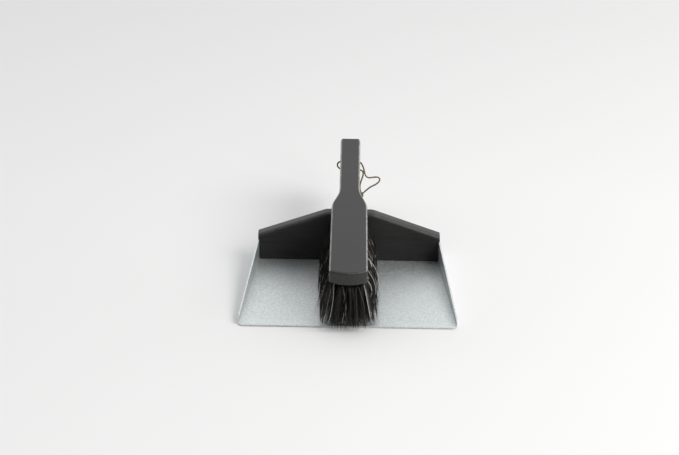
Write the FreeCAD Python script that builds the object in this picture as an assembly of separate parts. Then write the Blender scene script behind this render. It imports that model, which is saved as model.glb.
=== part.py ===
import FreeCAD, Part
import math
import os

# Dust pan and hand brush, nested for storage: the brush lies on the pan's handle, its bristles in the pan.
# Millimetres. The origin is on the pan's underside, in the middle of its depth; +Y points to the
# handles, +Z is up, and the pan scoops towards -Y.

Vector = FreeCAD.Vector

# ---------------------------------------------------------------- driving dimensions
sheet = 0.8  # thickness of the galvanised sheet
pan_depth = 166.0  # from the front edge to the back board
pan_front_width = 256.0
pan_rear_width = 221.0  # at the back board's front face
pan_corner_radius = 7.0
hem_depth = 9.0  # the front edge is folded flat under itself
hem_ramp = 1.5
wall_front_height = 5.6
wall_rear_height = 27.4
wall_end_length = 9.0  # over which the wall's top runs out at the front
bead_height = 4.5  # the walls' top edge is folded outwards over this height
bend_radius = 1.0  # inside the fold between floor and wall

board_thickness = 15.0
board_length = 222.0
board_end_height = 33.8
board_middle_height = 64.0
board_flat_width = 56.6
board_ridge_radius = 16.0
board_front_round = 4.5
board_back_round = 2.0

brush_tilt = 3.4  # degrees, the handle end is the higher one
brush_length = 330.0
brush_thickness = 16.6
brush_front_height = 55.0  # underside of the block's nose above the surface
block_front_width = 44.6
block_rear_width = 43.2  # at the shoulders
block_length = 161.0
nose_bulge = 7.0  # how far the nose's arc stands in front of its corners
nose_corner_radius = 5.0
shoulder_radius = 50.0
neck_length = 31.0
neck_radius = 70.0
handle_width = 24.8
handle_corner_radius = 3.5
wood_round = 2.8

handle_gap = 2.0  # between the two handles
pan_handle_thickness = 19.0
hang_hole_radius = 2.5
hang_hole_from_end = 10.0

tuft_rows = 5
tufts_per_row = 17
tuft_row_pitch = 8.0
first_tuft = 9.0  # from the nose to the first tuft's centre
last_tuft = 149.0
tuft_radius = 2.5
tuft_hole_depth = 9.0
tuft_root_depth = 6.5
tuft_collar = 1.3  # the root goes on straight this far below the wood
tuft_tip_radius = 4.0
tuft_spread = 1.95  # tips stand this many times as far out as the roots
front_lean = 17.0  # how far the middle row's first tips stand forward of their roots
side_lean_share = 0.65  # of it in the outermost rows
front_leaning_tufts = 5
front_gather = 0.14  # the first tips stand this share less far out, so the fan is rounded in front
back_lean = 5.0
back_leaning_tufts = 4
tip_clearance = 0.3  # between the tips and the pan's floor

anchor_width = 5.2
anchor_thickness = 0.5

magnet_radius = 7.0
magnet_thickness = 4.2
magnet_recess = 2.5
catch_radius = 8.0
catch_thickness = 1.5
magnet_from_nose = 255.0

handle_screw_height = 53.6
handle_screw_side = 6.2  # from the centre line
floor_screw_sides = (-85.0, -32.0, 32.0, 85.0)
wall_nail_heights = (8.0, 19.0)

lace_diameter = 2.0
knot_radius = 2.7
knot_centre = Vector(15.6, 237.0, 15.4)

# ---------------------------------------------------------------- derived sizes
pan_front_y = -pan_depth / 2
board_front_y = pan_depth / 2
board_back_y = board_front_y + board_thickness
taper = (pan_front_width - pan_rear_width) / 2 / pan_depth
wall_slope = (wall_rear_height - wall_front_height) / pan_depth
wall_clear_height = wall_rear_height + 20.0  # anything well above the walls
brush_angle = math.radians(brush_tilt)

nodes = {}


# ---------------------------------------------------------------- helpers
def half_width(y):
    """Half the pan's outside width at y."""
    return pan_front_width / 2 - taper * (y - pan_front_y)


def plan_prism(inset, y_low, y_high, z_low, z_high):
    """A prism with the pan's tapered plan, its sides moved in by inset."""
    low, high = half_width(y_low) - inset, half_width(y_high) - inset
    corners = [(-low, y_low), (low, y_low), (high, y_high), (-high, y_high), (-low, y_low)]
    outline = Part.makePolygon([Vector(x, y, z_low) for x, y in corners])
    return Part.Face(outline).extrude(Vector(0, 0, z_high - z_low))


def side_prism(points):
    """A prism across the whole pan from (y, z) points of its side view."""
    reach = pan_front_width
    ring = [Vector(-reach, y, z) for y, z in points + points[:1]]
    return Part.Face(Part.makePolygon(ring)).extrude(Vector(2 * reach, 0, 0))


def edges_where(shape, test):
    """The edges whose end points and middle all pass the test."""
    found = []
    for edge in shape.Edges:
        middle = edge.valueAt((edge.FirstParameter + edge.LastParameter) / 2)
        points = [vertex.Point for vertex in edge.Vertexes] + [middle]
        if all(test(point) for point in points):
            found.append(edge)
    return found


def long_floor_edges(prism, height):
    """The two long edges of a plan prism at the given height."""
    edges = edges_where(prism, lambda p: near(p.z, height) and abs(p.x) > pan_rear_width / 4)
    return [edge for edge in edges if abs(edge.tangentAt(edge.FirstParameter).y) > 0.9]


def near(value, target, tolerance=0.01):
    return abs(value - target) < tolerance


def on_brush(shape):
    """Moves a shape from the brush's own frame to the row frame.

    There X is across, Y runs from the nose to the handle end and Z is measured from the flat
    underside of the wood.
    """
    moved = shape.copy()
    moved.rotate(Vector(0, 0, 0), Vector(1, 0, 0), brush_tilt)
    moved.translate(Vector(0, pan_front_y, brush_front_height))
    return moved


def brush_point(x, along, height):
    """A point given in the brush's own frame, in the row frame."""
    y = along * math.cos(brush_angle) - height * math.sin(brush_angle)
    z = along * math.sin(brush_angle) + height * math.cos(brush_angle)
    return Vector(x, pan_front_y + y, brush_front_height + z)


def placed(shape, point, direction):
    """Turns a shape made along +Z to direction and moves its origin to point."""
    moved = shape.copy()
    turn = FreeCAD.Rotation(Vector(0, 0, 1), direction)
    moved.Placement = FreeCAD.Placement(point, turn)
    return moved


def screw_space(head_radius, shank_radius, length):
    """The space that a countersunk screw fills: head face at the origin, point towards -Z."""
    head_height = head_radius - shank_radius
    point_height = 2.2 * shank_radius
    head = Part.makeCone(shank_radius, head_radius, head_height, Vector(0, 0, -head_height))
    shank_height = length - head_height - point_height
    shank_base = Vector(0, 0, point_height - length)
    shank = Part.makeCylinder(shank_radius, shank_height, shank_base)
    point = Part.makeCone(0.2, shank_radius, point_height, Vector(0, 0, -length))
    return head.fuse([shank, point]).removeSplitter()


def wood_screw(head_radius, shank_radius, length):
    """A countersunk screw with a cross recess in its head."""
    screw = screw_space(head_radius, shank_radius, length)
    arm, width, depth = 1.1 * head_radius, 0.28 * head_radius, 0.45 * (head_radius - shank_radius)
    for size_x, size_y in ((arm, width), (width, arm)):
        corner = Vector(-size_x / 2, -size_y / 2, -depth)
        screw = screw.cut(Part.makeBox(size_x, size_y, 2 * depth, corner))
    return screw


def round_nail(head_radius, head_height, shank_radius, length):
    """A nail with a domed head: head's underside at the origin, point towards -Z."""
    head = Part.makeCylinder(head_radius, head_height)
    rim = edges_where(head, lambda p: near(p.z, head_height))
    head = head.makeFillet(0.7 * head_height, rim)
    point_height = 2.5 * shank_radius
    shank_height = length - point_height
    shank = Part.makeCylinder(shank_radius, shank_height, Vector(0, 0, -shank_height))
    point = Part.makeCone(0.1, shank_radius, point_height, Vector(0, 0, -length))
    return head.fuse([shank, point]).removeSplitter()


def group(shapes):
    return shapes[0] if len(shapes) == 1 else Part.makeCompound(shapes)


# ---------------------------------------------------------------- pan
def make_pan_sheet():
    """One folded sheet: floor, front hem, two side walls with a folded top edge."""
    plan = plan_prism(0, pan_front_y, board_back_y, 0, wall_clear_height)
    uprights = edges_where(plan, lambda p: near(p.y, pan_front_y))
    plan = plan.makeFillet(pan_corner_radius, [e for e in uprights if near(e.Length, wall_clear_height)])

    beyond = 20.0
    front_y, rear_y = pan_front_y - beyond, board_back_y + beyond
    trough = plan_prism(0, front_y, rear_y, 0, wall_clear_height)
    trough = trough.makeFillet(bend_radius + sheet, long_floor_edges(trough, 0))
    hollow = plan_prism(sheet, front_y, rear_y, sheet, wall_clear_height)
    hollow = hollow.makeFillet(bend_radius, long_floor_edges(hollow, sheet))
    hem_end = pan_front_y + hem_depth
    hem = side_prism([(front_y - 1, 0), (hem_end + hem_ramp, 0), (hem_end + hem_ramp, sheet),
                      (hem_end, 2 * sheet), (front_y - 1, 2 * sheet)])
    tray = plan.common(trough).cut(hollow.cut(hem))

    def wall_top(y):
        return wall_front_height + wall_slope * (min(y, board_front_y) - pan_front_y)

    run_out = pan_front_y + wall_end_length
    run_out_height = wall_top(run_out)
    lip, nose = 2 * sheet, 0.5 * sheet
    profile = side_prism([(pan_front_y + nose, 0), (board_back_y, 0), (board_back_y, wall_top(board_back_y)),
                          (board_front_y, wall_top(board_front_y)), (run_out, run_out_height),
                          (pan_front_y + 0.62 * wall_end_length, 0.85 * run_out_height),
                          (pan_front_y + 0.34 * wall_end_length, 0.58 * run_out_height),
                          (pan_front_y + 0.15 * wall_end_length, lip), (pan_front_y + nose, lip),
                          (pan_front_y, lip - nose), (pan_front_y, nose)])
    tray = tray.common(profile)

    bead_front = pan_front_y + 1.5 * wall_end_length
    bead = plan_prism(-sheet, bead_front, board_back_y, 0, wall_clear_height)
    bead = bead.cut(plan_prism(sheet / 2, bead_front - 1, board_back_y + 1, -1, wall_clear_height + 1))
    stretch = [bead_front, board_front_y, board_back_y]
    upper = [(y, wall_top(y)) for y in stretch]
    lower = [(y, wall_top(y) - bead_height) for y in reversed(stretch)]
    bead = bead.common(side_prism(upper + lower))
    return tray.fuse(bead).removeSplitter()


def make_back_board():
    """A gable-shaped board on the floor, cut back at its ends to fit between the walls."""
    half_flat, half_length = board_flat_width / 2, board_length / 2
    gable = [(-half_length, sheet), (half_length, sheet), (half_length, board_end_height),
             (half_flat, board_middle_height), (-half_flat, board_middle_height),
             (-half_length, board_end_height)]
    ring = [Vector(x, board_front_y, z) for x, z in gable + gable[:1]]
    board = Part.Face(Part.makePolygon(ring)).extrude(Vector(0, board_thickness, 0))
    between_walls = plan_prism(sheet, board_front_y - 1, board_back_y + 1, 0, wall_rear_height)
    above_walls = Part.makeBox(pan_front_width, board_thickness + 2, board_middle_height,
                               Vector(-pan_front_width / 2, board_front_y - 1, wall_rear_height))
    board = board.common(between_walls.fuse(above_walls))
    ridges = edges_where(board, lambda p: near(abs(p.x), half_flat) and near(p.z, board_middle_height))
    board = board.makeFillet(board_ridge_radius, [e for e in ridges if near(e.Length, board_thickness)])
    feet = edges_where(board, lambda p: near(p.z, sheet) and abs(p.x) > half_flat)
    board = board.makeChamfer(1.3 * bend_radius, [e for e in feet if e.Length < 2 * board_thickness])

    def top_edges(y):
        rim = edges_where(board, lambda p: near(p.y, y) and p.z > board_end_height - 1)
        return [edge for edge in rim if abs(edge.tangentAt(edge.FirstParameter).x) > 0.5]

    board = board.makeFillet(board_front_round, top_edges(board_front_y))
    return board.makeFillet(board_back_round, top_edges(board_back_y))


def make_pan_handle():
    """A straight bar under the brush's handle, butted against the back of the board."""
    start = board_back_y - pan_front_y - 20
    top = -handle_gap
    bar = Part.makeBox(handle_width, brush_length - start, pan_handle_thickness,
                       Vector(-handle_width / 2, start, top - pan_handle_thickness))
    end_edges = edges_where(bar, lambda p: near(p.y, brush_length))
    bar = bar.makeFillet(handle_corner_radius, [e for e in end_edges if near(e.Length, pan_handle_thickness)])
    for height in (top, top - pan_handle_thickness):
        rim = edges_where(bar, lambda p: near(p.z, height))
        rim = [e for e in rim if max(v.Y for v in e.Vertexes) > start + 1]
        bar = bar.makeFillet(wood_round, rim)
    hole_height = top - pan_handle_thickness / 2
    hole_place = Vector(-handle_width, brush_length - hang_hole_from_end, hole_height)
    hole = Part.makeCylinder(hang_hole_radius, 2 * handle_width, hole_place, Vector(1, 0, 0))
    bar = bar.cut(hole)
    mouths = edges_where(bar, lambda p: math.hypot(p.y - hole_place.y, p.z - hole_place.z)
                         < hang_hole_radius + 0.01)
    bar = bar.makeChamfer(0.6, [e for e in mouths if near(e.Length, 2 * math.pi * hang_hole_radius, 0.1)])
    bar = on_brush(bar)
    front = Part.makeBox(400, 400, 400, Vector(-200, board_back_y - 400, -100))
    return bar.cut(front)


def handle_screws(make):
    """The two screws through the board into the end of the pan's handle."""
    screw = make(3.8, 1.9, 44.0)
    sides = (-handle_screw_side, handle_screw_side)
    points = [Vector(x, board_front_y, handle_screw_height) for x in sides]
    return [placed(screw, point, Vector(0, -1, 0)) for point in points]


def floor_screws(make):
    """The four screws through the pan's floor into the underside of the board."""
    screw = make(3.0, 1.4, 14.0)
    points = [Vector(x, board_front_y + board_thickness / 2, 0) for x in floor_screw_sides]
    return [placed(screw, point, Vector(0, 0, -1)) for point in points]


def magnet_screw(make):
    """The screw through the middle of the ring magnet, into the pan's handle."""
    head_face = brush_point(0, magnet_from_nose, magnet_thickness - magnet_recess - handle_gap)
    return placed(make(3.0, 1.4, 13.0), head_face, away_from_wood)


def catch_screw(make):
    """The screw through the middle of the catch plate, into the brush's handle."""
    head_face = brush_point(0, magnet_from_nose, 0)
    return placed(make(3.0, 1.4, 11.0), head_face, -away_from_wood)


def make_wall_nails():
    """Two nails a side, through the walls into the ends of the board."""
    wall_nails = {}
    for name, side in (("left", -1), ("right", 1)):
        outward = Vector(side, taper, 0).normalize()
        nails = []
        y = board_front_y + board_thickness / 2
        for height in wall_nail_heights:
            nail = round_nail(2.3, 0.9, 0.9, 15.0)
            nails.append(placed(nail, Vector(side * half_width(y), y, height), outward))
        wall_nails[name] = nails
    return wall_nails


# ---------------------------------------------------------------- brush
def make_brush_stock():
    """One piece of wood: block with an arched nose, tapered neck and straight handle."""
    half_handle = handle_width / 2
    neck_end = block_length + neck_length
    right = [(block_front_width / 2, nose_bulge), (block_rear_width / 2, block_length),
             (half_handle, neck_end), (half_handle, brush_length)]
    corners = [Vector(x, y, 0) for x, y in right] + [Vector(-x, y, 0) for x, y in reversed(right)]
    nose = Part.Arc(corners[-1], Vector(0, 0, 0), corners[0]).toShape()
    sides = [Part.LineSegment(a, b).toShape() for a, b in zip(corners, corners[1:])]
    stock = Part.Face(Part.Wire([nose] + sides)).extrude(Vector(0, 0, brush_thickness))
    for y, radius in ((nose_bulge, nose_corner_radius), (block_length, shoulder_radius),
                      (neck_end, neck_radius), (brush_length, handle_corner_radius)):
        uprights = edges_where(stock, lambda p: near(p.y, y))
        stock = stock.makeFillet(radius, [e for e in uprights if near(e.Length, brush_thickness)])
    for height, radius in ((brush_thickness, wood_round), (0.0, 0.5 * wood_round)):
        stock = stock.makeFillet(radius, edges_where(stock, lambda p: near(p.z, height)))
    return stock


def tuft_places():
    """For each row, the (x, along) of its tufts in the brush's frame, their lean in Y and their spread."""
    pitch = (last_tuft - first_tuft) / (tufts_per_row - 1)
    rows = []
    for row in range(tuft_rows):
        x = (row - (tuft_rows - 1) / 2) * tuft_row_pitch
        outwards = abs(row - (tuft_rows - 1) / 2) / ((tuft_rows - 1) / 2)
        set_back = nose_bulge * (x / (block_front_width / 2)) ** 2
        row_lean = front_lean * (1 - (1 - side_lean_share) * outwards ** 2)
        places = []
        for index in range(tufts_per_row):
            from_back = tufts_per_row - 1 - index
            along = first_tuft + index * pitch + set_back * from_back / (tufts_per_row - 1)
            frontness = max(0, 1 - index / front_leaning_tufts) ** 1.5
            lean = back_lean * max(0, 1 - from_back / back_leaning_tufts) - row_lean * frontness
            spread = tuft_spread * (1 - front_gather * frontness)
            places.append((x, along, lean, spread))
        rows.append(places)
    return rows


def tuft_line(x, along, lean, spread):
    """Where a tuft leaves the wood, where its tip stands, and the way from the tip into the wood."""
    mouth = brush_point(x, along, 0)
    tip = Vector(x * spread, mouth.y + lean, sheet + tip_clearance)
    if tip.y - tuft_tip_radius < pan_front_y + hem_depth + hem_ramp:
        tip.z += sheet
    return mouth, tip, (mouth - tip).normalize()


def make_tuft(x, along, lean, spread):
    """A tuft as one solid: its root in the slanting hole, then a fan that is cut off level."""
    mouth, tip, inwards = tuft_line(x, along, lean, spread)
    fan_length = (mouth - tip).Length
    growth = (tuft_tip_radius - tuft_radius) / (fan_length - tuft_collar)
    reach = fan_length + 2 * tuft_tip_radius
    far_radius = tuft_radius + growth * (reach - tuft_collar)
    profile = [Vector(0, 0, tuft_root_depth), Vector(tuft_radius, 0, tuft_root_depth),
               Vector(tuft_radius, 0, -tuft_collar), Vector(far_radius, 0, -reach), Vector(0, 0, -reach)]
    outline = Part.Face(Part.makePolygon(profile + profile[:1]))
    tuft = placed(outline.revolve(Vector(0, 0, 0), Vector(0, 0, 1), 360), mouth, inwards)
    below = Part.makeBox(100, 100, 100, tip - Vector(50, 50, 100))
    return tuft.cut(below)


def make_tuft_hole(x, along, lean, spread):
    """The blind hole of a tuft, with some length outside the wood for a clean mouth."""
    mouth, _, inwards = tuft_line(x, along, lean, spread)
    outside = 3.0
    drill = Part.makeCylinder(tuft_radius, tuft_hole_depth + outside, Vector(0, 0, -outside))
    return placed(drill, mouth, inwards)


def make_anchor(x, along, lean, spread):
    """The small plate on edge that holds a folded tuft at the bottom of its hole."""
    mouth, _, inwards = tuft_line(x, along, lean, spread)
    height = tuft_hole_depth - tuft_root_depth
    corner = Vector(-anchor_width / 2, -anchor_thickness / 2, tuft_root_depth)
    plate = Part.makeBox(anchor_width, anchor_thickness, height, corner)
    top_edges = edges_where(plate, lambda p: near(p.z, tuft_hole_depth))
    plate = plate.makeChamfer(0.6, [e for e in top_edges if near(e.Length, anchor_thickness)])
    return placed(plate, mouth, inwards)


# ---------------------------------------------------------------- lace
def routed_path(points):
    """Straight runs joined by tangent arcs, each as large as its two runs allow."""
    edges, radii, start = [], [], points[0]
    for before, corner, after in zip(points, points[1:], points[2:]):
        back, ahead = before - corner, after - corner
        turn = math.pi - back.getAngle(ahead)
        reach = 0.45 * min(back.Length, ahead.Length)
        radii.append(reach / math.tan(turn / 2))
        back.normalize()
        ahead.normalize()
        arc_start, arc_end = corner + back * reach, corner + ahead * reach
        middle_way = (back + ahead).normalize()
        to_centre = radii[-1] / math.cos(turn / 2)
        arc_middle = corner + middle_way * (to_centre - radii[-1])
        edges.append(Part.LineSegment(start, arc_start).toShape())
        edges.append(Part.Arc(arc_start, arc_middle, arc_end).toShape())
        start = arc_end
    edges.append(Part.LineSegment(start, points[-1]).toShape())
    return Part.Wire(edges), radii


def make_lace(name, points):
    path, radii = routed_path(points)
    section = Part.Circle(points[0], points[1] - points[0], lace_diameter / 2).toShape()
    tube = path.makePipeShell([Part.Wire(section)], True, True)
    expected = math.pi * (lace_diameter / 2) ** 2 * path.Length
    print(f"{name}: length {path.Length:.1f} mm, volume {tube.Volume / expected:.4f} of section x length")
    print("  radii " + ", ".join(f"{radius:.1f}" for radius in radii))
    return tube


hang_hole = brush_point(0, brush_length - hang_hole_from_end, -handle_gap - pan_handle_thickness / 2)

right_lace_route = [
    Vector(0.0, hang_hole.y, hang_hole.z),
    Vector(6.5, hang_hole.y, hang_hole.z),
    Vector(13.4, 237.0, 61.2),
    Vector(16.7, 236.6, 55.0),
    Vector(18.3, 236.2, 48.3),
    Vector(19.6, 236.0, 42.7),
    Vector(23.6, 236.0, 39.4),
    Vector(29.6, 236.0, 40.5),
    Vector(35.0, 236.0, 41.3),
    Vector(38.6, 236.0, 38.6),
    Vector(37.6, 236.2, 34.2),
    Vector(33.2, 236.4, 30.1),
    Vector(26.9, 236.7, 26.7),
    Vector(21.6, 236.9, 22.0),
    Vector(17.4, 237.0, 17.4),
]

left_lace_route = [
    Vector(0.0, hang_hole.y, hang_hole.z),
    Vector(-6.0, hang_hole.y, hang_hole.z),
    Vector(-12.2, 237.0, 62.1),
    Vector(-15.9, 237.0, 59.8),
    Vector(-16.7, 237.0, 55.6),
    Vector(-14.0, 237.1, 51.9),
    Vector(-8.9, 237.4, 49.6),
    Vector(-1.6, 237.9, 49.4),
    Vector(6.6, 238.5, 48.5),
    Vector(12.8, 239.2, 49.5),
    Vector(16.8, 239.6, 47.0),
    Vector(16.9, 239.5, 41.6),
    Vector(14.7, 239.0, 35.2),
    Vector(12.9, 238.3, 28.6),
    Vector(12.8, 237.6, 22.7),
    Vector(14.3, 237.1, 18.0),
]


def make_lace_knot():
    """The knot that joins the lace's two ends, with its two short tails."""
    knot = Part.makeSphere(knot_radius, knot_centre)
    for lean in (-0.45, 0.35):
        tail = Part.makeCylinder(lace_diameter / 2, knot_radius + 4.0, knot_centre, Vector(lean, 0.1, -1))
        knot = knot.fuse(tail)
    return knot


# ---------------------------------------------------------------- assembly
away_from_wood = brush_point(0, 0, 1) - brush_point(0, 0, 0)  # square to the handles, upwards
wall_nails = make_wall_nails()
all_wall_nails = wall_nails["left"] + wall_nails["right"]
handle_screw_spaces = handle_screws(screw_space)
floor_screw_spaces = floor_screws(screw_space)

magnet_seat = Vector(0, magnet_from_nose, -handle_gap - magnet_recess)
magnet_pocket = on_brush(Part.makeCylinder(magnet_radius, magnet_recess, magnet_seat))
magnet = Part.makeCylinder(magnet_radius, magnet_thickness, magnet_seat)
magnet = magnet.makeFillet(0.5, edges_where(magnet, lambda p: p.z > -handle_gap + 1))

nodes["pan_sheet"] = make_pan_sheet().cut(floor_screw_spaces + all_wall_nails)
nodes["back_board"] = make_back_board().cut(handle_screw_spaces + floor_screw_spaces + all_wall_nails)
nodes["pan_handle"] = make_pan_handle().cut([magnet_pocket, magnet_screw(screw_space)] + handle_screw_spaces)
nodes["handle_screws"] = group(handle_screws(wood_screw))
nodes["floor_screws"] = group(floor_screws(wood_screw))
nodes["left_wall_nails"] = group(wall_nails["left"])
nodes["right_wall_nails"] = group(wall_nails["right"])
nodes["magnet"] = on_brush(magnet).cut(magnet_screw(screw_space))
nodes["magnet_screw"] = magnet_screw(wood_screw)

rows = tuft_places()
tuft_holes = [make_tuft_hole(*place) for places in rows for place in places]
catch_disc = Part.makeCylinder(catch_radius, catch_thickness, Vector(0, magnet_from_nose, 0))
stock = on_brush(make_brush_stock().cut(catch_disc))

nodes["brush_stock"] = stock.cut(tuft_holes).cut(catch_screw(screw_space))
nodes["catch_plate"] = on_brush(catch_disc).cut(catch_screw(screw_space))
nodes["catch_screw"] = catch_screw(wood_screw)
for number, places in enumerate(rows, 1):
    nodes[f"bristle_row_{number}"] = group([make_tuft(*place) for place in places])
    nodes[f"anchor_row_{number}"] = group([make_anchor(*place) for place in places])

nodes["lace_right"] = make_lace("lace_right", right_lace_route)
nodes["lace_left"] = make_lace("lace_left", left_lace_route)
nodes["lace_knot"] = make_lace_knot()

os.makedirs("parts", exist_ok=True)
for name, shape in nodes.items():
    box = shape.BoundBox
    print(f"{name:18} solids {len(shape.Solids):3} valid {shape.isValid()} volume {shape.Volume:9.1f}")
    low = f"{box.XMin:.1f}, {box.YMin:.1f}, {box.ZMin:.1f}"
    high = f"{box.XMax:.1f}, {box.YMax:.1f}, {box.ZMax:.1f}"
    print(f"  from {low} to {high}")
    shape.exportStep(f"parts/{name}.step")
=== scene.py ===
import math
from collections import namedtuple

import bmesh
import bpy
import numpy as np
from mathutils import Matrix, Vector


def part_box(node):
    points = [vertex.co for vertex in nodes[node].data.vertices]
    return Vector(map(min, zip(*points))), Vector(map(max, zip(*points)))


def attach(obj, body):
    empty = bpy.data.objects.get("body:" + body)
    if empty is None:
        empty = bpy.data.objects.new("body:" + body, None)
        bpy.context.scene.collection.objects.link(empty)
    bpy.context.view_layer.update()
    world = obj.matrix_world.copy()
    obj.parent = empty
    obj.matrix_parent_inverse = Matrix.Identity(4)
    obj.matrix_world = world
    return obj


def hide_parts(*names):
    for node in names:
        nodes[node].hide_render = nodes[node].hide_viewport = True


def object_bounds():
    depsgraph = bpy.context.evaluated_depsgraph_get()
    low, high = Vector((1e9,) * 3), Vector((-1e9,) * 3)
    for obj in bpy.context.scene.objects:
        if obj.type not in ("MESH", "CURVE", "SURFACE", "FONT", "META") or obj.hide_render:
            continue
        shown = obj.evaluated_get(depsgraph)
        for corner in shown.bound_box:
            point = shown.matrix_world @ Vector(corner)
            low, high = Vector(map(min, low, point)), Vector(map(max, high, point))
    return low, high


# Dust pan and brush set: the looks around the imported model. Metres, in the model's own frame.

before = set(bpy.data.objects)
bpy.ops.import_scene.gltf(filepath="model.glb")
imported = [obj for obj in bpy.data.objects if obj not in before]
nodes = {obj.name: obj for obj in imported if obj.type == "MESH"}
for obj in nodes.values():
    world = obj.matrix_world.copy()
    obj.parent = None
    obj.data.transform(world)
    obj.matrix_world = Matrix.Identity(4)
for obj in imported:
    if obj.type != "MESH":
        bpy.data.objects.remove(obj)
CAD_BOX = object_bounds()

# ---------------------------------------------------------------- camera
CAMERA_ELEVATION = 27.0  # degrees above the horizon
CAMERA_AZIMUTH = -0.35  # the view turns this many degrees towards +X
CAMERA_ROLL = 0.73
CAMERA_DISTANCE = 2.658
CAMERA_LENS = 111.3  # mm
CAMERA_SENSOR = 36.0  # mm
CAMERA_CLIP = 50.0
CAMERA_AIM = Vector((-0.0123, 0.1720, 0.0))  # the point in the middle of the view


def make_camera():
    elevation, azimuth, roll = (math.radians(a) for a in (CAMERA_ELEVATION, CAMERA_AZIMUTH, CAMERA_ROLL))
    flat = math.cos(elevation)
    forward = Vector((math.sin(azimuth) * flat, math.cos(azimuth) * flat, -math.sin(elevation)))
    right = forward.cross(Vector((0, 0, 1))).normalized()
    up = right.cross(forward)
    turned_right = right * math.cos(roll) + up * math.sin(roll)
    turned_up = up * math.cos(roll) - right * math.sin(roll)
    data = bpy.data.cameras.new("camera")
    data.lens = CAMERA_LENS
    data.sensor_width = CAMERA_SENSOR
    data.clip_end = CAMERA_CLIP
    camera = bpy.data.objects.new("camera", data)
    bpy.context.scene.collection.objects.link(camera)
    place = Matrix((turned_right, turned_up, -forward)).transposed().to_4x4()
    place.translation = CAMERA_AIM - forward * CAMERA_DISTANCE
    camera.matrix_world = place
    bpy.context.scene.camera = camera


# ---------------------------------------------------------------- node helpers
MIX_FACTOR, MIX_FIRST, MIX_SECOND = 0, 6, 7  # a Mix node's inputs when it mixes colours
MIX_RESULT = 2
X, Y, Z = 0, 1, 2
ARRIS_LOW = 0.28  # two parts of a normal multiplied: 0 on a flat face, 0.5 in the middle of an arris
ARRIS_HIGH = 0.47


class Graph:
    """A material's node tree, built with short calls."""

    def __init__(self, name):
        self.material = bpy.data.materials.new(name)
        self.material.use_nodes = True
        self.tree = self.material.node_tree
        self.shader = self.tree.nodes["Principled BSDF"]

    def node(self, kind, inputs=None, **settings):
        made = self.tree.nodes.new("ShaderNode" + kind)
        for key, value in settings.items():
            setattr(made, key, value)
        for key, value in (inputs or {}).items():
            if isinstance(value, bpy.types.NodeSocket):
                self.tree.links.new(value, made.inputs[key])
            else:
                made.inputs[key].default_value = value
        return made

    def place(self, scale=(1, 1, 1)):
        """Object coordinates in metres, stretched by scale."""
        source = self.node("TexCoord").outputs["Object"]
        return self.node("Mapping", {"Vector": source, "Scale": scale}).outputs["Vector"]

    def noise(self, vector, scale, detail=3.0, roughness=0.55, distortion=0.0):
        values = {"Vector": vector, "Scale": scale, "Detail": detail, "Roughness": roughness,
                  "Distortion": distortion}
        return self.node("TexNoise", values).outputs["Fac"]

    def cells(self, vector, scale, feature="F1", output="Distance"):
        made = self.node("TexVoronoi", {"Vector": vector, "Scale": scale}, feature=feature)
        return made.outputs[output]

    def range(self, value, low, high, to_low=0.0, to_high=1.0):
        values = {"Value": value, "From Min": low, "From Max": high, "To Min": to_low, "To Max": to_high}
        return self.node("MapRange", values).outputs["Result"]

    def math(self, operation, first, second=0.0):
        return self.node("Math", {0: first, 1: second}, operation=operation).outputs[0]

    def mix(self, factor, first, second, blend="MIX"):
        made = self.node("Mix", data_type="RGBA", blend_type=blend)
        for index, value in ((MIX_FACTOR, factor), (MIX_FIRST, first), (MIX_SECOND, second)):
            if isinstance(value, bpy.types.NodeSocket):
                self.tree.links.new(value, made.inputs[index])
            elif index == MIX_FACTOR:
                made.inputs[index].default_value = value
            else:
                made.inputs[index].default_value = (*value, 1.0)
        return made.outputs[MIX_RESULT]

    def arris(self, first, second):
        """1 on the rounded edges between two directions of faces, such as top (Z) and side (X)."""
        normal = self.node("TexCoord").outputs["Normal"]
        parts = self.node("SeparateXYZ", {"Vector": normal}).outputs
        product = self.math("MULTIPLY", parts[first], parts[second])
        return self.range(self.math("ABSOLUTE", product), ARRIS_LOW, ARRIS_HIGH)

    def bump(self, height, distance, strength, below=None):
        values = {"Height": height, "Distance": distance, "Strength": strength}
        if below is not None:
            values["Normal"] = below
        return self.node("Bump", values).outputs["Normal"]

    def set(self, **values):
        for key, value in values.items():
            socket = self.shader.inputs[key.replace("_", " ")]
            if isinstance(value, bpy.types.NodeSocket):
                self.tree.links.new(value, socket)
            else:
                socket.default_value = value
        return self.material


# ---------------------------------------------------------------- materials
ZINC_DARK, ZINC_LIGHT, ZINC_CLOUD = (0.575, 0.615, 0.612), (0.805, 0.835, 0.832), (0.66, 0.70, 0.70)
STAIN_DARK, STAIN_LIGHT = (0.012, 0.0118, 0.0114), (0.032, 0.0312, 0.030)
# the last colour on the next line is the arrises' lighter tone: partly wear, partly a painted highlight
# for the light the rounded edges catch
STAIN_CLOUD, RAY_FLECK, ARRIS_WEAR_AND_HIGHLIGHT = (0.034, 0.0335, 0.0325), (0.008, 0.008, 0.008), (0.45, 0.44, 0.42)
LEATHER_DARK, LEATHER_LIGHT = (0.13, 0.096, 0.044), (0.30, 0.225, 0.105)
LEATHER_BLOTCH, LEATHER_CREASE = (0.44, 0.35, 0.19), (0.05, 0.037, 0.018)
GRAIN_STRETCH, FLECK_STRETCH = 14.0, 6.0  # how much longer along the wood than across it
DULL_SPOT = 0.62  # a dull spot's tone against the bright metal's


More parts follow.
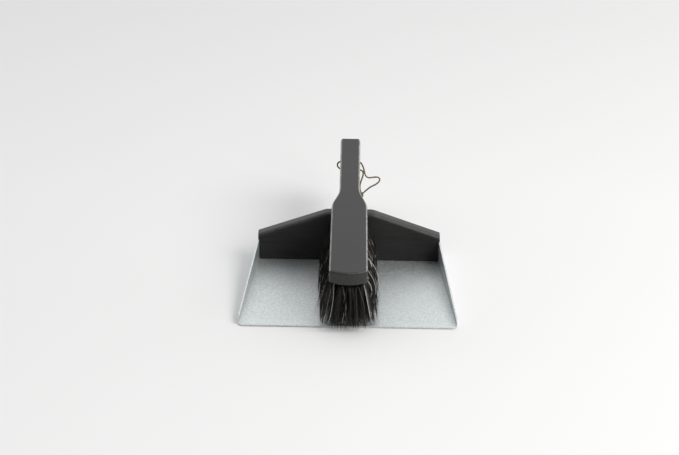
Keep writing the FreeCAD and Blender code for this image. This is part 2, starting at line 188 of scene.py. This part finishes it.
def galvanised_steel():
    """Hot-dip zinc: dull metal with a fine mottled spangle and faint draw marks."""
    g = Graph("galvanised_steel")
    place = g.place()
    crystal = g.node("SeparateColor", {"Color": g.cells(place, scale=800.0, output="Color")}).outputs
    fine = g.noise(place, scale=1700.0, detail=2.0)
    cloud = g.noise(place, scale=14.0, detail=4.0, roughness=0.6)
    scuffs = g.noise(g.place((30.0, 1.0, 1.0)), scale=24.0, detail=5.0, roughness=0.7)
    shade = g.math("ADD", g.math("MULTIPLY", crystal[0], 0.6), g.math("MULTIPLY", fine, 0.4))
    colour = g.mix(g.range(shade, 0.15, 0.8), ZINC_DARK, ZINC_LIGHT)
    colour = g.mix(g.range(cloud, 0.35, 0.75, 0.0, 0.3), colour, ZINC_CLOUD)
    rough = g.math("ADD", g.range(crystal[1], 0.0, 1.0, 0.36, 0.62), g.range(scuffs, 0.45, 0.8, 0.0, 0.08))
    relief = g.math("ADD", g.math("MULTIPLY", crystal[2], 0.4), g.math("MULTIPLY", fine, 0.6))
    normal = g.bump(relief, distance=0.00010, strength=0.6)
    normal = g.bump(cloud, distance=0.0010, strength=0.3, below=normal)
    return g.set(Base_Color=colour, Metallic=0.85, Roughness=rough, Normal=normal)


def black_beech(name, grain, side_wear_and_highlight, end_wear_and_highlight):
    """Black-stained beech: closed grain along one axis, ray flecks, arrises lighter, partly as wear and
    partly as a painted highlight.
    """
    g = Graph(name)
    long_place = g.place([1.0 if axis == grain else GRAIN_STRETCH for axis in "XYZ"])
    fleck_place = g.place([1.0 if axis == grain else FLECK_STRETCH for axis in "XYZ"])
    streaks = g.noise(long_place, scale=26.0, detail=6.0, roughness=0.62, distortion=0.25)
    pores = g.noise(long_place, scale=95.0, roughness=0.6)
    flecks = g.cells(fleck_place, scale=150.0)
    cloud = g.noise(g.place(), scale=9.0)
    patch = g.noise(g.place(), scale=130.0, detail=5.0, roughness=0.7)
    colour = g.mix(g.range(streaks, 0.3, 0.72), STAIN_DARK, STAIN_LIGHT)
    colour = g.mix(g.range(cloud, 0.4, 0.75, 0.0, 0.4), colour, STAIN_CLOUD)
    colour = g.mix(g.range(flecks, 0.0, 0.12, 0.35, 0.0), colour, RAY_FLECK)
    # painted highlight: the rounded arrises are lightened in the base colour, partly as wear and partly
    # for the light they catch
    arrises = g.math("ADD", g.math("MULTIPLY", g.arris(X, Z), side_wear_and_highlight),
                     g.math("MULTIPLY", g.arris(Y, Z), end_wear_and_highlight))
    wear_and_highlight = g.math("MULTIPLY", arrises, g.range(patch, 0.36, 0.62, 0.42, 1.0))
    colour = g.mix(wear_and_highlight, colour, ARRIS_WEAR_AND_HIGHLIGHT)
    rough = g.math("ADD", g.range(streaks, 0.3, 0.7, 0.40, 0.52), g.math("MULTIPLY", wear_and_highlight, -0.06))
    normal = g.bump(pores, distance=0.00012, strength=0.4)
    normal = g.bump(streaks, distance=0.0003, strength=0.25, below=normal)
    return g.set(Base_Color=colour, Roughness=rough, Normal=normal, Specular_IOR_Level=0.46)


def horsehair(name, dark, light, rough):
    """Animal hair: tone changes from strand to strand and a little along each one."""
    g = Graph(name)
    strand = g.noise(g.place((1.0, 1.0, 0.03)), scale=1600.0, detail=1.0)
    along = g.noise(g.place(), scale=160.0, detail=2.0)
    scales = g.noise(g.place(), scale=2500.0, detail=1.0)
    colour = g.mix(g.range(strand, 0.3, 0.7), dark, light)
    colour = g.mix(g.range(along, 0.35, 0.8, 0.0, 0.35), colour, light)
    normal = g.bump(scales, distance=0.00002, strength=0.3)
    return g.set(Base_Color=colour, Roughness=g.range(along, 0.3, 0.7, rough, rough + 0.14), Normal=normal)


def lace_leather():
    """Round tan leather lace: darker skin with fine creases across it."""
    g = Graph("lace_leather")
    place = g.place()
    mottle = g.noise(place, scale=420.0, detail=4.0, roughness=0.65)
    creases = g.cells(place, scale=1500.0, feature="DISTANCE_TO_EDGE")
    blotch = g.noise(place, scale=90.0, detail=2.0)
    colour = g.mix(g.range(mottle, 0.3, 0.7), LEATHER_DARK, LEATHER_LIGHT)
    colour = g.mix(g.range(blotch, 0.45, 0.7, 0.0, 0.5), colour, LEATHER_BLOTCH)
    colour = g.mix(g.range(creases, 0.0, 0.1, 0.5, 0.0), colour, LEATHER_CREASE)
    normal = g.bump(g.range(creases, 0.0, 0.15), distance=0.00008, strength=0.6)
    return g.set(Base_Color=colour, Roughness=g.range(mottle, 0.3, 0.7, 0.5, 0.68), Normal=normal)


def plated_steel(name, light, rough):
    """Small plated parts: fine turning marks and a few dull spots."""
    g = Graph(name)
    spots = g.noise(g.place(), scale=700.0, roughness=0.6)
    marks = g.noise(g.place((1.0, 1.0, 12.0)), scale=900.0, detail=2.0)
    dark = [DULL_SPOT * value for value in light]
    colour = g.mix(g.range(spots, 0.35, 0.7, 0.0, 0.6), light, dark)
    normal = g.bump(marks, distance=0.00003, strength=0.4)
    return g.set(Base_Color=colour, Metallic=1.0, Roughness=g.range(spots, 0.3, 0.7, rough, rough + 0.16),
                 Normal=normal)


def dress(node_names, material):
    for name in node_names:
        for slot in nodes[name].material_slots:
            slot.material = material


# ---------------------------------------------------------------- bristles
ROWS = range(1, 6)
EDGE_ROWS = (1, 5)
SEED = 31
STEPS_PER_METRE = 1e6  # vertices that agree to one of these steps are taken as one
ROOT_SLICE = 0.0008  # a tuft's vertices this near its top and its bottom show where it starts and ends
TIP_SLICE = 0.0002

# a tuft
TUFT_ROOT_DEPTH = 0.0065  # of the CAD tuft in its hole
CLUMPS_PER_TUFT = 15
FRONT_TUFTS = 3  # of each row, which spread further along the brush
CLUMP_FAN_X = 0.0075  # how far a tuft's clumps spread at the floor, across and along the brush
CLUMP_FAN_Y = 0.0062
FRONT_FAN = 2.1  # the front tufts spread this many times as far along the brush

# the rounded outline that the clumps keep to at the floor
FAN_HALF_WIDTH = 0.0345
FAN_ROUND_FROM = -0.036  # in front of this y the outline narrows
FAN_FRONT = -0.0975
FAN_POWER = 4.0
FAN_SLACK = (0.985, 0.02)  # the outline's size for each clump, mean and spread
LOOSE_EDGE_SHARE = 0.07  # of the clumps, for which the outline is larger
LOOSE_EDGE = 0.05
FLOOR_GAP = 0.0005

# a clump
STRAY_SHARE = 0.2  # of the clumps, which reach past the others
STRAY_REACH = 0.3
SHORT_SHARE = 0.12  # of the clumps, which end short of the floor
SHORT_BY = (0.02, 0.12)  # as a share of their length
UNEVEN = 0.006  # the same for the other clumps, as a spread
BOW = (0.0022, 0.0016)  # how far the middle bows out, mean and spread
BOW_BASE = 0.4
FLYAWAY_SHARE = 0.5  # of the outer clumps on the brush's sides, which end higher and bow out more
FLYAWAY_SHORT_BY = (0.0, 0.5)
FLYAWAY_BOW = (0.0015, 0.004)
CLUMP_WAVE = 0.0006
SIDE_PALE_SHARE = 0.22  # of the outer clumps on the sides, and of those in front
FRONT_PALE_SHARE = 0.08
BROWN_FROM = 0.78  # the clumps above this share are brown
Kind = namedtuple("Kind", "looseness pale brown")  # how far its hairs part, its shares of light hairs
PALE_CLUMP = Kind(0.25, 0.9, 0.1)
BROWN_CLUMP = Kind(0.3, 0.02, 0.7)
BLACK_CLUMP = Kind(1.0, 0.008, 0.03)
SIDE_PALE_HAIRS = (1, 3)  # from the first number to below the second
FRONT_PALE_HAIRS = (1, 6)
BROWN_HAIRS = 5
BLACK_HAIRS = 14

# a hair
BLACK, BROWN, PALE = 0, 1, 2
MOUTH_RADIUS = 0.0021  # how far from a tuft's middle its hairs leave the wood
MOUTH_DEPTH = 0.001  # how far inside the wood they start
MOUTH_REACH = (0.7, 1.05)
TURN_SPREAD = 0.7  # radians
TIP_SPREAD = 0.00045
HAIR_UNEVEN = 0.02
HAIR_WAVE = 0.0004
ASTRAY_SHARE = 0.08  # of the hairs, whose tips stand apart
ASTRAY_SPREAD = 0.003
HAIR_RADIUS = 0.00018
THICKNESS = (0.75, 1.2)
PALE_THICKNESS = 1.3
TAPER = 0.35  # the share of its radius that a hair loses towards its tip
HAIR_STEPS = 5
LEVEL = np.array([1, 1, 0])  # keeps a shift in the floor's plane
SIDE_GUIDE = (0.31, 0.95, 0.05)  # a direction that no hair runs along


def islands(mesh):
    """The vertex positions of each separate solid in a mesh."""
    count = len(mesh.vertices)
    points = np.empty(count * 3)
    mesh.vertices.foreach_get("co", points)
    points = points.reshape(-1, 3)
    keys = np.round(points * STEPS_PER_METRE).astype(np.int64)
    _, same = np.unique(keys, axis=0, return_inverse=True)
    same = same.reshape(-1)
    parent = list(range(int(same.max()) + 1))

    def find(item):
        while parent[item] != item:
            parent[item] = parent[parent[item]]
            item = parent[item]
        return item

    edges = np.empty(len(mesh.edges) * 2, dtype=np.int64)
    mesh.edges.foreach_get("vertices", edges)
    for first, second in same[edges.reshape(-1, 2)]:
        a, b = find(int(first)), find(int(second))
        if a != b:
            parent[a] = b
    groups = {}
    for index, item in enumerate(same):
        groups.setdefault(find(int(item)), []).append(index)
    return [points[members] for members in groups.values()]


def tuft_line(points):
    """Where a tuft leaves the wood and where its tip stands, from its CAD solid."""
    top, bottom = points[:, 2].max(), points[:, 2].min()
    root = points[points[:, 2] > top - ROOT_SLICE].mean(axis=0)
    tip = points[points[:, 2] < bottom + TIP_SLICE]
    tip = (tip.min(axis=0) + tip.max(axis=0)) / 2
    return root, tip


def inside_fan(point, slack):
    """The point, pulled into the rounded outline of the fan at the floor when it lies outside."""
    depth = (FAN_ROUND_FROM - FAN_FRONT) * slack
    across = abs(point[0]) / (FAN_HALF_WIDTH * slack)
    ahead = max(0.0, FAN_ROUND_FROM - point[1]) / depth
    reach = (across ** FAN_POWER + ahead ** FAN_POWER) ** (1 / FAN_POWER)
    if reach > 1:
        point[0] /= reach
        if ahead > 0:
            point[1] = FAN_ROUND_FROM - ahead / reach * depth
    return point


class Clump:
    """Some hairs of one tuft, which leave the wood together and run to a common point."""

    def __init__(self, rng, tip, front, side):
        """side is the tuft's x in the outermost rows, and 0 in the others."""
        self.angle = rng.uniform(0, 2 * math.pi)
        self.reach = math.sqrt(rng.uniform(0, 1))
        self.out = np.array([math.cos(self.angle), math.sin(self.angle), 0.0])
        outer = self.out[0] * side > 0
        self.tip = self.find_tip(rng, tip, front)
        self.shorter, self.bow = self.find_bend(rng, outer)
        self.wave = rng.normal(0, CLUMP_WAVE, 3)
        self.kind, self.count = find_kind(rng, front, outer)

    def find_tip(self, rng, tip, front):
        """The clump's point just above the floor."""
        stray = 1.0 + (rng.exponential(STRAY_REACH) if rng.uniform() < STRAY_SHARE else 0.0)
        fan_y = CLUMP_FAN_Y * (FRONT_FAN if front else 1.0)
        point = tip + self.out * self.reach * stray * np.array([CLUMP_FAN_X, fan_y, 0.0])
        slack = rng.normal(*FAN_SLACK) + (LOOSE_EDGE if rng.uniform() < LOOSE_EDGE_SHARE else 0)
        point = inside_fan(point, slack)
        point[2] = tip[2] + FLOOR_GAP
        return point

    def find_bend(self, rng, outer):
        """The share by which the clump ends short of its point, and how far its middle bows out."""
        shorter = rng.uniform(*SHORT_BY) if rng.uniform() < SHORT_SHARE else abs(rng.normal(0, UNEVEN))
        bow = rng.normal(*BOW) * (BOW_BASE + self.reach)
        if outer and rng.uniform() < FLYAWAY_SHARE:
            shorter = rng.uniform(*FLYAWAY_SHORT_BY)
            bow += rng.uniform(*FLYAWAY_BOW)
        return shorter, bow

    def hair(self, rng, mouth, down):
        """One hair: its line, its radius and its tone."""
        loose = self.kind.looseness
        turn = self.angle + rng.normal(0, TURN_SPREAD)
        inner = np.array([math.cos(turn), math.sin(turn), 0.0]) * self.reach * rng.uniform(*MOUTH_REACH)
        start = mouth + inner * MOUTH_RADIUS * loose - down * MOUTH_DEPTH
        end = self.tip + rng.normal(0, TIP_SPREAD, 3) * loose * LEVEL
        end = start + (end - start) * (1 - self.shorter - abs(rng.normal(0, HAIR_UNEVEN)))
        wave = self.wave + rng.normal(0, HAIR_WAVE, 3) * loose
        if rng.uniform() < ASTRAY_SHARE * loose:
            end += rng.normal(0, ASTRAY_SPREAD, 3) * LEVEL
        line = []
        for step in range(HAIR_STEPS + 1):
            t = step / HAIR_STEPS
            arch = math.sin(math.pi * t)
            line.append(start + (end - start) * t + self.out * self.bow * arch + wave * arch)
        tone = find_tone(rng, self.kind)
        radius = HAIR_RADIUS * rng.uniform(*THICKNESS) * (PALE_THICKNESS if tone == PALE else 1.0)
        return line, radius, tone


def find_kind(rng, front, outer):
    """The kind of a clump, and its number of hairs."""
    draw = rng.uniform()
    if outer and draw < SIDE_PALE_SHARE:
        return PALE_CLUMP, rng.integers(*SIDE_PALE_HAIRS)
    if front and not outer and draw < FRONT_PALE_SHARE:
        return PALE_CLUMP, rng.integers(*FRONT_PALE_HAIRS)
    if draw > BROWN_FROM:
        return BROWN_CLUMP, BROWN_HAIRS
    return BLACK_CLUMP, BLACK_HAIRS


def find_tone(rng, kind):
    draw = rng.uniform()
    if draw < kind.pale:
        return PALE
    return BROWN if draw < kind.pale + kind.brown else BLACK


def add_strand(verts, faces, tones, line, radius, tone):
    """One hair: a three-sided tube that narrows to its tip, closed at both ends."""
    first_vert, first_face = len(verts), len(faces)
    way = line[-1] - line[0]
    side = np.cross(way, SIDE_GUIDE)
    side /= np.linalg.norm(side)
    across = np.cross(way, side)
    across /= np.linalg.norm(across)
    steps = len(line) - 1
    for step, point in enumerate(line[:-1]):
        size = radius * (1 - TAPER * (step / steps) ** 2)
        for corner in range(3):
            angle = 2 * math.pi * corner / 3
            verts.append(tuple(point + size * (math.cos(angle) * side + math.sin(angle) * across)))
    verts.append(tuple(line[-1]))
    faces.append((first_vert, first_vert + 2, first_vert + 1))
    for step in range(steps - 1):
        low = first_vert + 3 * step
        for corner in range(3):
            after = (corner + 1) % 3
            faces.append((low + corner, low + after, low + 3 + after, low + 3 + corner))
    last = first_vert + 3 * (steps - 1)
    for corner in range(3):
        faces.append((last + corner, last + (corner + 1) % 3, first_vert + 3 * steps))
    tones.extend([tone] * (len(faces) - first_face))


def bristle_rows(tone_materials):
    """Hairs for each row of CAD tufts; tone_materials are in the order black, brown, pale."""
    for number in ROWS:
        node_name = f"bristle_row_{number}"
        rng = np.random.default_rng(SEED + number)
        verts, faces, tones = [], [], []
        tufts = [tuft_line(points) for points in islands(nodes[node_name].data)]
        tufts.sort(key=lambda ends: ends[0][1])
        for index, (root, tip) in enumerate(tufts):
            down = (tip - root) / np.linalg.norm(tip - root)
            mouth = root + down * TUFT_ROOT_DEPTH
            side = root[0] if number in EDGE_ROWS else 0.0
            for _ in range(CLUMPS_PER_TUFT):
                clump = Clump(rng, tip, index < FRONT_TUFTS, side)
                for _ in range(clump.count):
                    add_strand(verts, faces, tones, *clump.hair(rng, mouth, down))
        mesh = bpy.data.meshes.new(f"bristles_{number}")
        mesh.from_pydata(verts, [], faces)
        for material in tone_materials:
            mesh.materials.append(material)
        mesh.polygons.foreach_set("material_index", tones)
        mesh.polygons.foreach_set("use_smooth", [True] * len(faces))
        piece = bpy.data.objects.new(f"bristles_{number}", mesh)
        bpy.context.scene.collection.objects.link(piece)
        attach(piece, "brush")
        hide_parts(node_name)


# ---------------------------------------------------------------- lace
LACE_DIAMETER = 0.002
RIGHT_LENGTH = 0.0837
LEFT_LENGTH = 0.0863
KNOT_DROP = 0.0027  # from the top of the knot's box to the middle of its turns
KNOT_TURNS = 2.1
KNOT_START = 0.6  # radians
KNOT_POINTS = 28
KNOT_RADIUS = 0.00165
KNOT_NARROWING = 0.0003  # the turns are this much narrower at both ends
KNOT_TOP = 0.0016  # the first point, above the middle
KNOT_HEIGHT = 0.0034
KNOT_STRAND_RADIUS = 0.00095
KNOT_TAILS = ((-0.0014, 0.0042), (0.0012, 0.0036))  # how far each tail goes sideways and down

RIGHT_LACE = [
    (0.0000, 0.2371, 0.0625), (0.0065, 0.2371, 0.0625), (0.0134, 0.2370, 0.0612),
    (0.0167, 0.2366, 0.0550), (0.0183, 0.2362, 0.0483), (0.0196, 0.2360, 0.0427),
    (0.0236, 0.2360, 0.0394), (0.0296, 0.2360, 0.0405), (0.0350, 0.2360, 0.0413),
    (0.0386, 0.2360, 0.0386), (0.0376, 0.2362, 0.0342), (0.0332, 0.2364, 0.0301),
    (0.0269, 0.2367, 0.0267), (0.0216, 0.2369, 0.0220), (0.0174, 0.2370, 0.0174),
]
LEFT_LACE = [
    (0.0000, 0.2371, 0.0625), (-0.0060, 0.2371, 0.0625), (-0.0122, 0.2370, 0.0621),
    (-0.0159, 0.2370, 0.0598), (-0.0167, 0.2370, 0.0556), (-0.0140, 0.2371, 0.0519),
    (-0.0089, 0.2374, 0.0496), (-0.0016, 0.2379, 0.0494), (0.0066, 0.2385, 0.0485),
    (0.0128, 0.2392, 0.0495), (0.0168, 0.2396, 0.0470), (0.0169, 0.2395, 0.0416),
    (0.0147, 0.2390, 0.0352), (0.0129, 0.2383, 0.0286), (0.0128, 0.2376, 0.0227),
    (0.0143, 0.2371, 0.0180),
]


def smooth_curve(name, points, radius):
    """A NURBS curve of order 3 with the given control points."""
    curve = bpy.data.curves.new(name, "CURVE")
    curve.dimensions = "3D"
    curve.bevel_depth = radius
    curve.bevel_resolution = 4
    curve.resolution_u = 8
    curve.use_fill_caps = True
    spline = curve.splines.new("NURBS")
    spline.points.add(len(points) - 1)
    for point, place in zip(spline.points, points):
        point.co = (*place, 1.0)
    spline.order_u = 3
    spline.use_endpoint_u = True
    piece = bpy.data.objects.new(name, curve)
    bpy.context.scene.collection.objects.link(piece)
    return piece


def make_lace(material):
    """The loop as two cords, which meet in the middle of the handle's hole and in the knot."""
    knot = make_knot(material)
    for node_name, route, side, length in (("lace_right", RIGHT_LACE, 1, RIGHT_LENGTH),
                                           ("lace_left", LEFT_LACE, -1, LEFT_LENGTH)):
        cord = smooth_curve(f"{node_name}_cord", route, LACE_DIAMETER / 2)
        cord.data.materials.append(material)
        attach(cord, "pan")
        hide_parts(node_name)


def make_knot(material):
    """The lace's knot: two turns wound round its two ends, and two short cut tails."""
    low, high = (Vector(corner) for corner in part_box("lace_knot"))
    centre = Vector(((low.x + high.x) / 2, (low.y + high.y) / 2, high.z - KNOT_DROP))
    points = []
    for step in range(KNOT_POINTS):
        t = step / (KNOT_POINTS - 1)
        angle = 2 * math.pi * KNOT_TURNS * t + KNOT_START
        radius = KNOT_RADIUS - KNOT_NARROWING * abs(2 * t - 1)
        height = KNOT_TOP - KNOT_HEIGHT * t
        points.append(centre + Vector((radius * math.cos(angle), radius * math.sin(angle), height)))
    strands = [smooth_curve("lace_knot_turns", points, KNOT_STRAND_RADIUS)]
    for lean, drop in KNOT_TAILS:
        offsets = ((0, 0, 0.001), (lean * 0.3, 0, -0.002), (lean, 0.0003, -drop * 0.7),
                   (lean * 1.25, 0.0006, -drop))
        tail = [centre + Vector(offset) for offset in offsets]
        strands.append(smooth_curve("lace_tail", tail, KNOT_STRAND_RADIUS))
    depsgraph = bpy.context.evaluated_depsgraph_get()
    joined = bmesh.new()
    for strand in strands:
        joined.from_mesh(bpy.data.meshes.new_from_object(strand.evaluated_get(depsgraph)))
    mesh = bpy.data.meshes.new("knot_turns")
    joined.to_mesh(mesh)
    joined.free()
    for strand in strands:
        bpy.data.objects.remove(strand)
    mesh.materials.clear()
    mesh.materials.append(material)
    mesh.polygons.foreach_set("use_smooth", [True] * len(mesh.polygons))
    knot = bpy.data.objects.new("knot_turns", mesh)
    bpy.context.scene.collection.objects.link(knot)
    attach(knot, "pan")
    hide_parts("lace_knot")
    return knot


# ---------------------------------------------------------------- stage
FLOOR_SIZE = 12.0
FLOOR_DROP = 0.0002  # the floor lies this far below the object's lowest point
# the last colour on the next line is painted shade for the far floor
PAPER_DARK, PAPER_LIGHT, PAPER_FAR_SHADE = (0.863, 0.863, 0.861), (0.873, 0.873, 0.871), (0.842, 0.842, 0.839)
FAR_FROM, FAR_TO = 0.3, 0.9  # painted shade: the floor gets darker between these y, standing in for the light falling off far behind the object
SKY = (0.985, 0.99, 1.0, 1.0)
WORLD_FRONT = 0.02  # the world's strength in front of the object, and behind it
WORLD_BACK = 1.1
WORLD_FROM, WORLD_TO = -0.75, 0.45  # it rises between these y of the direction looked in
WINDOW_PLACE = (2.7, -0.75, 2.3)
WINDOW_SIZE = (2.2, 2.2)
WINDOW_POWER = 74.0
DOOR_PLACE = (1.5, -2.3, 1.7)
DOOR_SIZE = (1.0, 1.6)
DOOR_POWER = 14.0
DAYLIGHT = (1.0, 0.985, 0.965)
LIGHT_AIM = Vector((0, 0.1, 0))


def make_stage():
    """A wide pale floor, with painted shade that makes it a little darker far behind the object."""
    half = FLOOR_SIZE / 2
    corners = [(-half, -half, 0), (half, -half, 0), (half, half, 0), (-half, half, 0)]
    mesh = bpy.data.meshes.new("floor")
    mesh.from_pydata(corners, [], [(0, 1, 2, 3)])
    floor = bpy.data.objects.new("floor", mesh)
    bpy.context.scene.collection.objects.link(floor)
    floor.location.z = CAD_BOX[0][Z] - FLOOR_DROP
    g = Graph("floor_paper")
    grain = g.noise(g.place(), scale=3.0, detail=2.0)
    colour = g.mix(g.range(grain, 0.3, 0.7), PAPER_DARK, PAPER_LIGHT)
    back = g.node("SeparateXYZ", {"Vector": g.place()}).outputs[Y]
    # painted shade: the floor's colour darkens towards the back
    colour = g.mix(g.range(back, FAR_FROM, FAR_TO), colour, PAPER_FAR_SHADE)
    mesh.materials.append(g.set(Base_Color=colour, Roughness=0.9, Specular_IOR_Level=0.1))


def area_light(name, place, size, power):
    data = bpy.data.lights.new(name, "AREA")
    data.shape = "RECTANGLE"
    data.size, data.size_y = size
    data.energy = power
    data.color = DAYLIGHT
    light = bpy.data.objects.new(name, data)
    light.location = place
    light.rotation_euler = (LIGHT_AIM - Vector(place)).to_track_quat("-Z", "Y").to_euler()
    bpy.context.scene.collection.objects.link(light)


def make_lights():
    """A pale room, dark in front of the object and bright behind it, with a large window and a door."""
    world = bpy.data.worlds.new("studio")
    world.use_nodes = True
    tree = world.node_tree
    background = tree.nodes["Background"]
    way = tree.nodes.new("ShaderNodeSeparateXYZ")
    tree.links.new(tree.nodes.new("ShaderNodeTexCoord").outputs["Generated"], way.inputs[0])
    glow = tree.nodes.new("ShaderNodeMapRange")
    glow.interpolation_type = "SMOOTHSTEP"
    glow.inputs["From Min"].default_value = WORLD_FROM
    glow.inputs["From Max"].default_value = WORLD_TO
    glow.inputs["To Min"].default_value = WORLD_FRONT
    glow.inputs["To Max"].default_value = WORLD_BACK
    tree.links.new(way.outputs["Y"], glow.inputs["Value"])
    background.inputs["Color"].default_value = SKY
    tree.links.new(glow.outputs["Result"], background.inputs["Strength"])
    bpy.context.scene.world = world
    area_light("window", WINDOW_PLACE, WINDOW_SIZE, WINDOW_POWER)
    area_light("door", DOOR_PLACE, DOOR_SIZE, DOOR_POWER)


# ---------------------------------------------------------------- assembly
make_camera()
make_lace(lace_leather())
bpy.context.scene.view_settings.view_transform = "Standard"

# the last two numbers: how far the side and end arrises are lightened, partly as wear and partly as
# painted highlight
WOOD_ALONG = black_beech("black_beech_long", "Y", 0.9, 0.12)
WOOD_ACROSS = black_beech("black_beech_cross", "X", 0.12, 0.10)
FASTENERS = ["handle_screws", "floor_screws", "left_wall_nails", "right_wall_nails", "magnet_screw",
             "catch_screw"]
HAIR_TONES = [
    horsehair("hair_black", (0.006, 0.0055, 0.005), (0.018, 0.015, 0.013), 0.4),
    horsehair("hair_brown", (0.035, 0.030, 0.025), (0.12, 0.102, 0.085), 0.4),
    horsehair("hair_pale", (0.80, 0.76, 0.68), (0.95, 0.93, 0.87), 0.35),
]

dress(["pan_sheet"], galvanised_steel())
dress(["brush_stock", "pan_handle"], WOOD_ALONG)
dress(["back_board"], WOOD_ACROSS)
dress(FASTENERS + [f"anchor_row_{number}" for number in ROWS],
      plated_steel("zinc_plated", (0.6, 0.6, 0.585), 0.3))
dress(["magnet"], plated_steel("nickel", (0.68, 0.66, 0.62), 0.16))
dress(["catch_plate"], plated_steel("zinc_disc", (0.62, 0.63, 0.64), 0.34))

bristle_rows(HAIR_TONES)
make_stage()
make_lights()
